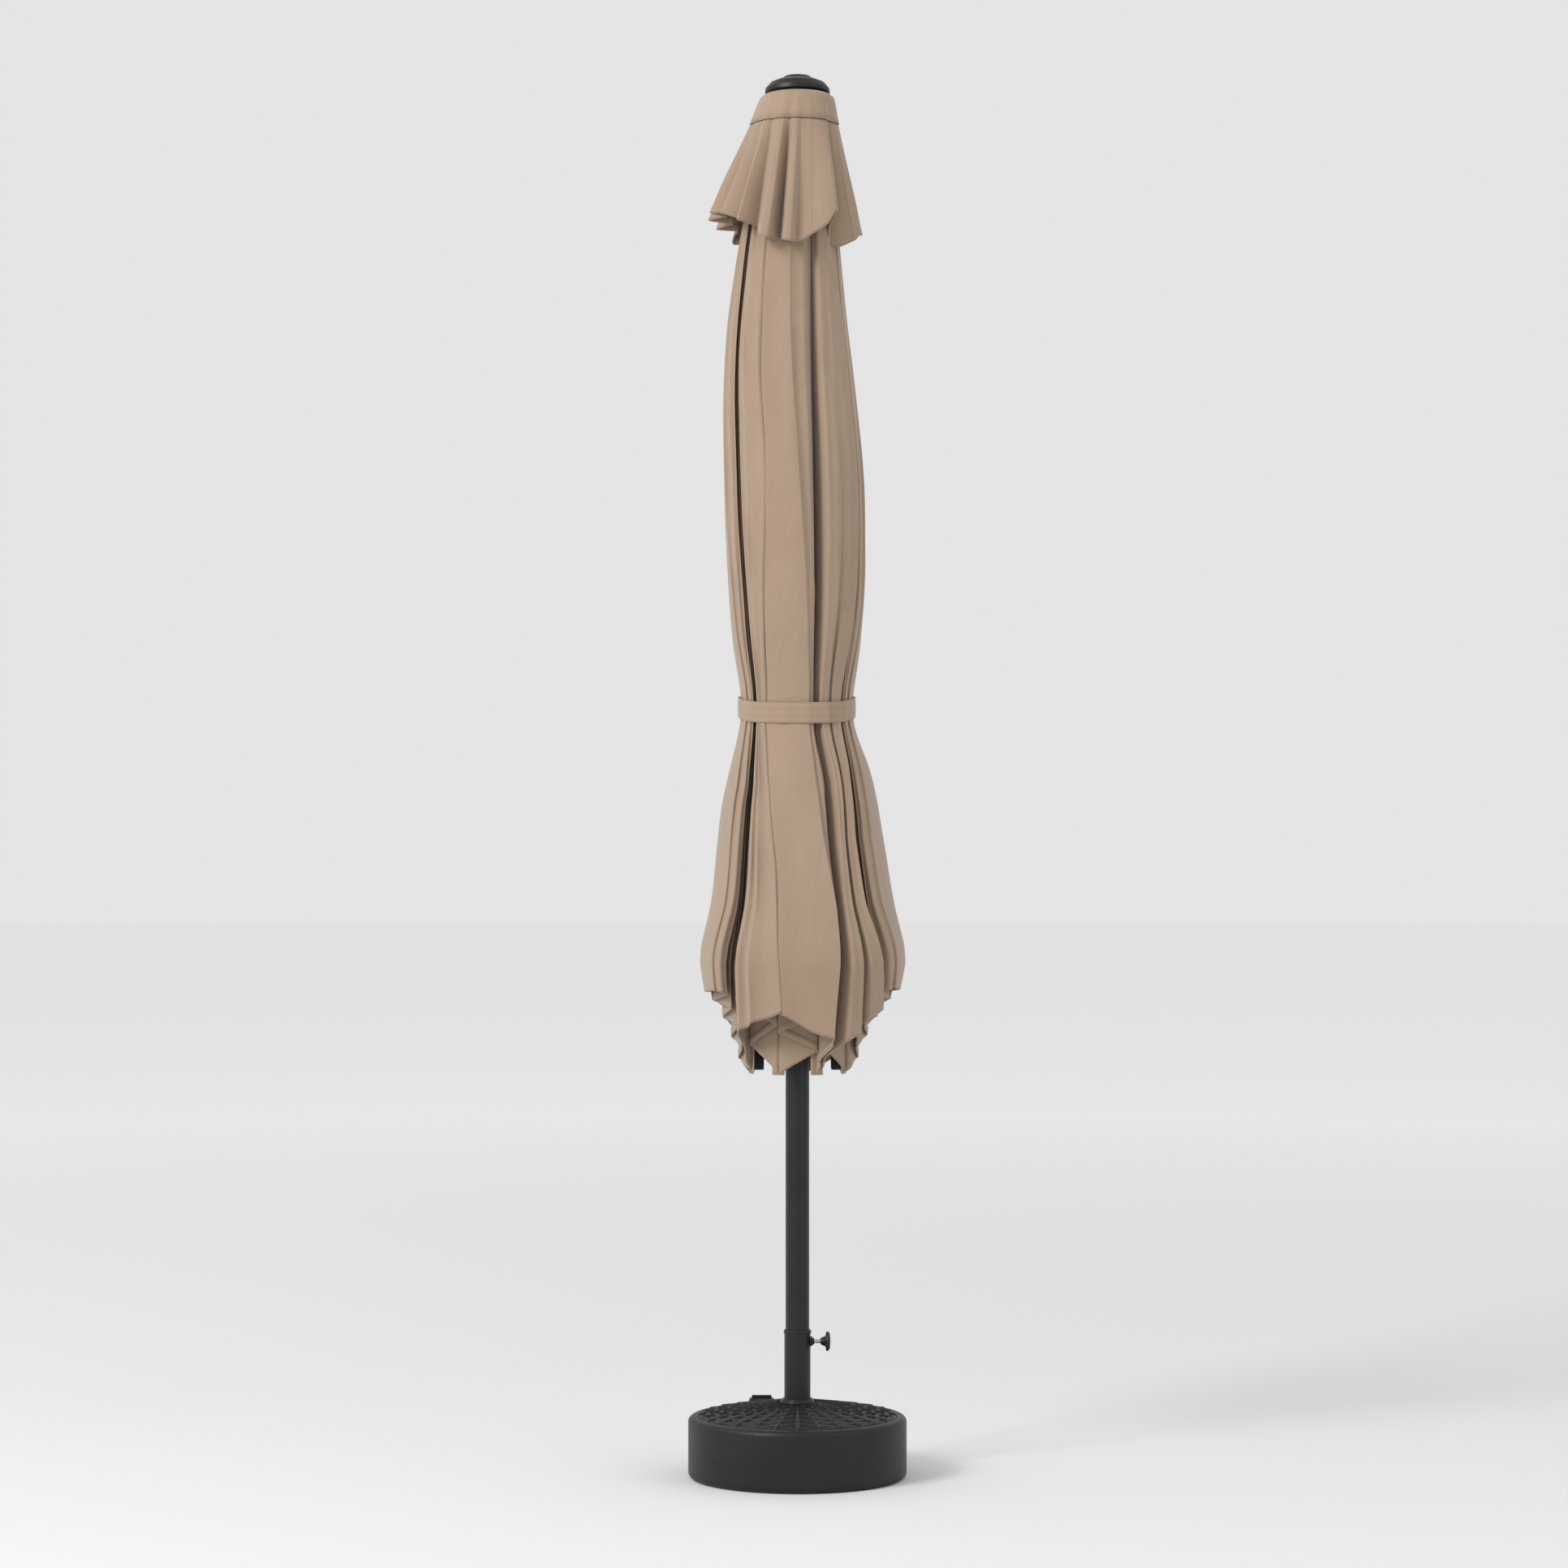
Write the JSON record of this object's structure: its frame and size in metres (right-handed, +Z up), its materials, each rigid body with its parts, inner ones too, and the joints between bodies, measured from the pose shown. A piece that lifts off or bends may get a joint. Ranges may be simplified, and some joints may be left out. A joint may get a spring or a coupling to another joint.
{
  "type": "patio umbrella with base",
  "caption": "Crank-lift market umbrella, closed and tied, standing in a round sand-filled base with a side clamp screw.",
  "frame": {"origin": "centre of the base's bottom face, on the pole's axis", "axes": "+Z up along the pole; the crank is on the +Y side and the clamp knob on the +X side"},
  "size_m": [0.35, 0.35, 2.245],
  "materials": {
    "base_plastic": "moulded basket weave, satin",
    "ballast": "packed sand",
    "powder_coat": "satin powder coat",
    "moulded_plastic": "fine satin",
    "plated_steel": "zinc plated",
    "canopy_cloth": "plain-weave polyester, water repellent"
  },
  "bodies": {
    "base": {"base_lower_shell": "base_plastic", "base_upper_shell": "base_plastic", "ballast_fill": "ballast", "base_tube": "powder_coat", "flange_screws": "plated_steel", "base_collar": "moulded_plastic", "tube_mouth_ring": "moulded_plastic", "clamp_nut": "powder_coat"},
    "fill_cap": {"fill_cap": "base_plastic"},
    "clamp_pad": {"clamp_pad": "moulded_plastic"},
    "clamp_screw": {"clamp_screw": "plated_steel", "clamp_knob": "moulded_plastic"},
    "pole_foot": {"pole_foot_plug": "moulded_plastic"},
    "mast": {"lower_pole": "powder_coat", "upper_pole": "powder_coat", "pole_ferrule": "powder_coat", "pole_joint_pin": "plated_steel", "crank_housing_front": "moulded_plastic", "crank_housing_back": "moulded_plastic", "housing_screws": "plated_steel", "top_hub": "moulded_plastic", "hinge_wire": "plated_steel", "pulley_pin": "plated_steel", "finial_cap": "moulded_plastic", "finial_button": "moulded_plastic", "vent_flap": "canopy_cloth"},
    "pulley": {"cord_pulley": "moulded_plastic"},
    "runner": {"runner": "moulded_plastic"},
    "crank": {"crank_spool": "plated_steel", "crank_arm": "powder_coat"},
    "crank_grip": {"crank_grip": "moulded_plastic"},
    "rib_1": {"rib_1": "powder_coat"},
    "strut_1": {"strut_1": "powder_coat"},
    "gore_1": {"canopy_gore_1": "canopy_cloth"},
    "rib_2": {"rib_2": "powder_coat"},
    "strut_2": {"strut_2": "powder_coat"},
    "gore_2": {"canopy_gore_2": "canopy_cloth"},
    "rib_3": {"rib_3": "powder_coat", "tie_strap": "canopy_cloth"},
    "strut_3": {"strut_3": "powder_coat"},
    "gore_3": {"canopy_gore_3": "canopy_cloth"},
    "rib_4": {"rib_4": "powder_coat"},
    "strut_4": {"strut_4": "powder_coat"},
    "gore_4": {"canopy_gore_4": "canopy_cloth"},
    "rib_5": {"rib_5": "powder_coat"},
    "strut_5": {"strut_5": "powder_coat"},
    "gore_5": {"canopy_gore_5": "canopy_cloth"},
    "rib_6": {"rib_6": "powder_coat"},
    "strut_6": {"strut_6": "powder_coat"},
    "gore_6": {"canopy_gore_6": "canopy_cloth"},
    "rib_7": {"rib_7": "powder_coat"},
    "strut_7": {"strut_7": "powder_coat"},
    "gore_7": {"canopy_gore_7": "canopy_cloth"},
    "rib_8": {"rib_8": "powder_coat"},
    "strut_8": {"strut_8": "powder_coat"},
    "gore_8": {"canopy_gore_8": "canopy_cloth"}
  },
  "joints": [
    {"name": "fill_cap_lift", "type": "slide", "parent": "base", "child": "fill_cap", "axis": [0, 0, 1], "range_m": [0, 0.04]},
    {"name": "clamp_travel", "type": "slide", "parent": "base", "child": "clamp_pad", "axis": [1, 0, 0], "range_m": [0, 0.005]},
    {"name": "clamp_turn", "type": "hinge", "parent": "clamp_pad", "child": "clamp_screw", "pos_m": [0, 0, 0.217], "axis": [1, 0, 0], "range_deg": [0, 1439.9]},
    {"name": "mast_lift", "type": "slide", "parent": "base", "child": "pole_foot", "axis": [0, 0, 1], "range_m": [0, 0.25]},
    {"name": "mast_swivel", "type": "hinge", "parent": "pole_foot", "child": "mast", "pos_m": [0, 0, 0.2], "axis": [0, 0, 1], "continuous": true},
    {"name": "runner_slide", "type": "slide", "parent": "mast", "child": "runner", "axis": [0, 0, 1], "range_m": [0, 0.71045], "deforming": ["vent_flap", "tie_strap"]},
    {"name": "rib_1_hinge", "type": "hinge", "parent": "mast", "child": "rib_1", "pos_m": [0.02772, 0.01148, 2.188], "axis": [0.3827, -0.9239, 0], "range_deg": [0, 69.05]},
    {"name": "strut_1_hinge", "type": "hinge", "parent": "rib_1", "child": "strut_1", "pos_m": [0.03642, 0.01509, 1.64808], "axis": [0.3827, -0.9239, 0], "range_deg": [-138.1, 0]},
    {"name": "gore_1_spread", "type": "hinge", "parent": "rib_1", "child": "gore_1", "pos_m": [0.02296, 0.02296, 2.188], "axis": [0.5969, 0.5969, -0.536], "range_deg": [0, 50.12], "deforming": ["canopy_gore_1"]},
    {"name": "rib_2_hinge", "type": "hinge", "parent": "mast", "child": "rib_2", "pos_m": [0.01148, 0.02772, 2.188], "axis": [0.9239, -0.3827, 0], "range_deg": [0, 69.05]},
    {"name": "strut_2_hinge", "type": "hinge", "parent": "rib_2", "child": "strut_2", "pos_m": [0.01509, 0.03642, 1.64808], "axis": [0.9239, -0.3827, 0], "range_deg": [-138.1, 0]},
    {"name": "gore_2_spread", "type": "hinge", "parent": "rib_2", "child": "gore_2", "pos_m": [0, 0.03247, 2.188], "axis": [0, 0.8442, -0.536], "range_deg": [0, 50.12], "deforming": ["canopy_gore_2"]},
    {"name": "rib_3_hinge", "type": "hinge", "parent": "mast", "child": "rib_3", "pos_m": [-0.01148, 0.02772, 2.188], "axis": [0.9239, 0.3827, 0], "range_deg": [0, 69.05]},
    {"name": "strut_3_hinge", "type": "hinge", "parent": "rib_3", "child": "strut_3", "pos_m": [-0.01509, 0.03642, 1.64808], "axis": [0.9239, 0.3827, 0], "range_deg": [-138.1, 0]},
    {"name": "gore_3_spread", "type": "hinge", "parent": "rib_3", "child": "gore_3", "pos_m": [-0.02296, 0.02296, 2.188], "axis": [-0.5969, 0.5969, -0.536], "range_deg": [0, 50.12], "deforming": ["canopy_gore_3"]},
    {"name": "rib_4_hinge", "type": "hinge", "parent": "mast", "child": "rib_4", "pos_m": [-0.02772, 0.01148, 2.188], "axis": [0.3827, 0.9239, 0], "range_deg": [0, 69.05]},
    {"name": "strut_4_hinge", "type": "hinge", "parent": "rib_4", "child": "strut_4", "pos_m": [-0.03642, 0.01509, 1.64808], "axis": [0.3827, 0.9239, 0], "range_deg": [-138.1, 0]},
    {"name": "gore_4_spread", "type": "hinge", "parent": "rib_4", "child": "gore_4", "pos_m": [-0.03247, 0, 2.188], "axis": [-0.8442, 0, -0.536], "range_deg": [0, 50.12], "deforming": ["canopy_gore_4"]},
    {"name": "rib_5_hinge", "type": "hinge", "parent": "mast", "child": "rib_5", "pos_m": [-0.02772, -0.01148, 2.188], "axis": [-0.3827, 0.9239, 0], "range_deg": [0, 69.05]},
    {"name": "strut_5_hinge", "type": "hinge", "parent": "rib_5", "child": "strut_5", "pos_m": [-0.03642, -0.01509, 1.64808], "axis": [-0.3827, 0.9239, 0], "range_deg": [-138.1, 0]},
    {"name": "gore_5_spread", "type": "hinge", "parent": "rib_5", "child": "gore_5", "pos_m": [-0.02296, -0.02296, 2.188], "axis": [-0.5969, -0.5969, -0.536], "range_deg": [0, 50.12], "deforming": ["canopy_gore_5"]},
    {"name": "rib_6_hinge", "type": "hinge", "parent": "mast", "child": "rib_6", "pos_m": [-0.01148, -0.02772, 2.188], "axis": [-0.9239, 0.3827, 0], "range_deg": [0, 69.05]},
    {"name": "strut_6_hinge", "type": "hinge", "parent": "rib_6", "child": "strut_6", "pos_m": [-0.01509, -0.03642, 1.64808], "axis": [-0.9239, 0.3827, 0], "range_deg": [-138.1, 0]},
    {"name": "gore_6_spread", "type": "hinge", "parent": "rib_6", "child": "gore_6", "pos_m": [0, -0.03247, 2.188], "axis": [0, -0.8442, -0.536], "range_deg": [0, 50.12], "deforming": ["canopy_gore_6"]},
    {"name": "rib_7_hinge", "type": "hinge", "parent": "mast", "child": "rib_7", "pos_m": [0.01148, -0.02772, 2.188], "axis": [-0.9239, -0.3827, 0], "range_deg": [0, 69.05]},
    {"name": "strut_7_hinge", "type": "hinge", "parent": "rib_7", "child": "strut_7", "pos_m": [0.01509, -0.03642, 1.64808], "axis": [-0.9239, -0.3827, 0], "range_deg": [-138.1, 0]},
    {"name": "gore_7_spread", "type": "hinge", "parent": "rib_7", "child": "gore_7", "pos_m": [0.02296, -0.02296, 2.188], "axis": [0.5969, -0.5969, -0.536], "range_deg": [0, 50.12], "deforming": ["canopy_gore_7"]},
    {"name": "rib_8_hinge", "type": "hinge", "parent": "mast", "child": "rib_8", "pos_m": [0.02772, -0.01148, 2.188], "axis": [-0.3827, -0.9239, 0], "range_deg": [0, 69.05]},
    {"name": "strut_8_hinge", "type": "hinge", "parent": "rib_8", "child": "strut_8", "pos_m": [0.03642, -0.01509, 1.64808], "axis": [-0.3827, -0.9239, 0], "range_deg": [-138.1, 0]},
    {"name": "gore_8_spread", "type": "hinge", "parent": "rib_8", "child": "gore_8", "pos_m": [0.03247, 0, 2.188], "axis": [0.8442, 0, -0.536], "range_deg": [0, 50.12], "deforming": ["canopy_gore_8"]},
    {"name": "crank_turn", "type": "hinge", "parent": "mast", "child": "crank", "pos_m": [0, 0, 0.99], "axis": [0, 1, 0], "range_deg": [0, 3241]},
    {"name": "grip_turn", "type": "hinge", "parent": "crank", "child": "crank_grip", "pos_m": [0, 0.076, 0.914], "axis": [0, 1, 0], "continuous": true},
    {"name": "pulley_turn", "type": "hinge", "parent": "mast", "child": "pulley", "pos_m": [0, 0, 2.15], "axis": [1, 0, 0], "range_deg": [0, 4072]}
  ],
  "couplings": [
    {"joint": "clamp_travel", "follows": "clamp_turn", "m_per_rad": 0.00019894},
    {"joint": "rib_1_hinge", "follows": "runner_slide", "rad_per_m": 1.6951},
    {"joint": "strut_1_hinge", "follows": "runner_slide", "rad_per_m": -3.3902},
    {"joint": "gore_1_spread", "follows": "runner_slide", "rad_per_m": 1.2301},
    {"joint": "rib_2_hinge", "follows": "runner_slide", "rad_per_m": 1.6951},
    {"joint": "strut_2_hinge", "follows": "runner_slide", "rad_per_m": -3.3902},
    {"joint": "gore_2_spread", "follows": "runner_slide", "rad_per_m": 1.2301},
    {"joint": "rib_3_hinge", "follows": "runner_slide", "rad_per_m": 1.6951},
    {"joint": "strut_3_hinge", "follows": "runner_slide", "rad_per_m": -3.3902},
    {"joint": "gore_3_spread", "follows": "runner_slide", "rad_per_m": 1.2301},
    {"joint": "rib_4_hinge", "follows": "runner_slide", "rad_per_m": 1.6951},
    {"joint": "strut_4_hinge", "follows": "runner_slide", "rad_per_m": -3.3902},
    {"joint": "gore_4_spread", "follows": "runner_slide", "rad_per_m": 1.2301},
    {"joint": "rib_5_hinge", "follows": "runner_slide", "rad_per_m": 1.6951},
    {"joint": "strut_5_hinge", "follows": "runner_slide", "rad_per_m": -3.3902},
    {"joint": "gore_5_spread", "follows": "runner_slide", "rad_per_m": 1.2301},
    {"joint": "rib_6_hinge", "follows": "runner_slide", "rad_per_m": 1.6951},
    {"joint": "strut_6_hinge", "follows": "runner_slide", "rad_per_m": -3.3902},
    {"joint": "gore_6_spread", "follows": "runner_slide", "rad_per_m": 1.2301},
    {"joint": "rib_7_hinge", "follows": "runner_slide", "rad_per_m": 1.6951},
    {"joint": "strut_7_hinge", "follows": "runner_slide", "rad_per_m": -3.3902},
    {"joint": "gore_7_spread", "follows": "runner_slide", "rad_per_m": 1.2301},
    {"joint": "rib_8_hinge", "follows": "runner_slide", "rad_per_m": 1.6951},
    {"joint": "strut_8_hinge", "follows": "runner_slide", "rad_per_m": -3.3902},
    {"joint": "gore_8_spread", "follows": "runner_slide", "rad_per_m": 1.2301},
    {"joint": "crank_turn", "follows": "runner_slide", "rad_per_m": 79.6},
    {"joint": "pulley_turn", "follows": "runner_slide", "rad_per_m": 100}
  ]
}
